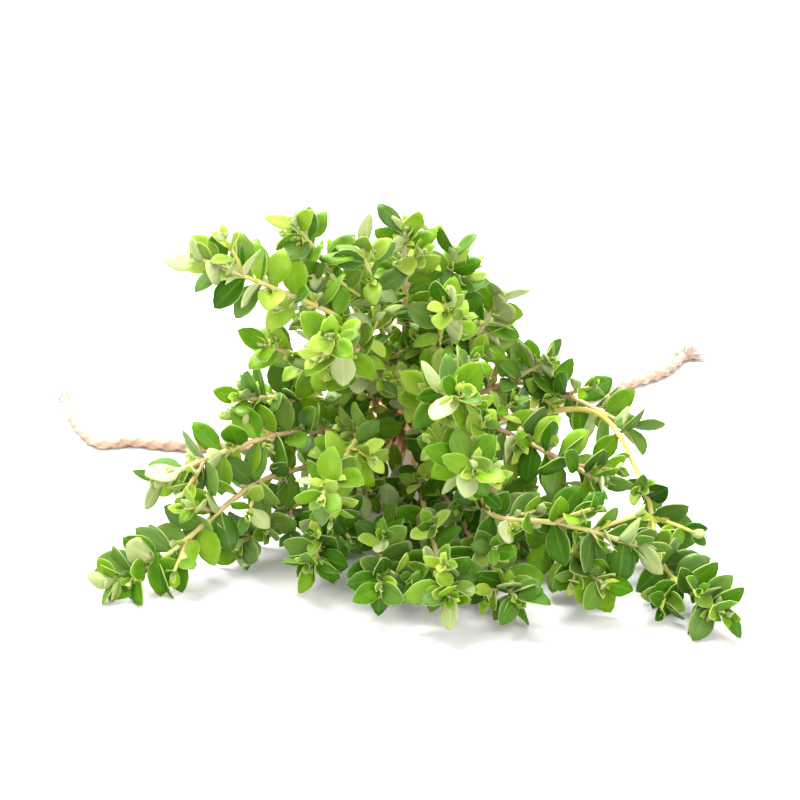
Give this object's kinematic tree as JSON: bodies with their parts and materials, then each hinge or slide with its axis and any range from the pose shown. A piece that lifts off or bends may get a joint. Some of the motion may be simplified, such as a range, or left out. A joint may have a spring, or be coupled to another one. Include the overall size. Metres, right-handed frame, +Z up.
{
  "type": "lemon thyme bundle",
  "caption": "Bundle of fresh lemon thyme lying on its side, with small oval leaves in pairs on woody stems, tied with natural twine whose loose ends trail to each side.",
  "frame": {"origin": "on the surface that the bundle lies on, at the lowest facet of the tie, straight under the tie's middle", "axes": "+Z up, -Y from the tie towards the leafy tips, +Y towards the cut ends, +X to the right as seen from the tips looking at the cut ends"},
  "size_m": [0.1698, 0.1677, 0.0754],
  "materials": {
    "herb": "fresh green leaf, bright and slightly glossy above, pale and matt below, on pinkish tan stems",
    "twine": "natural twine, matt and hairy"
  },
  "bodies": {
    "root": {"sprig_01": "herb", "sprig_02": "herb", "sprig_03": "herb", "sprig_04": "herb", "sprig_05": "herb", "sprig_06": "herb", "sprig_07": "herb", "sprig_08": "herb", "sprig_09": "herb", "sprig_10": "herb", "sprig_11": "herb", "sprig_12": "herb", "sprig_13": "herb", "sprig_14": "herb", "sprig_15": "herb", "sprig_16": "herb", "sprig_17": "herb", "sprig_18": "herb", "sprig_19": "herb", "sprig_20": "herb", "sprig_21": "herb", "sprig_22": "herb", "sprig_23": "herb", "sprig_24": "herb", "sprig_25": "herb", "sprig_26": "herb", "twine_tie": "twine", "twine_tail_left": "twine", "twine_tail_right": "twine"}
  },
  "joints": []
}
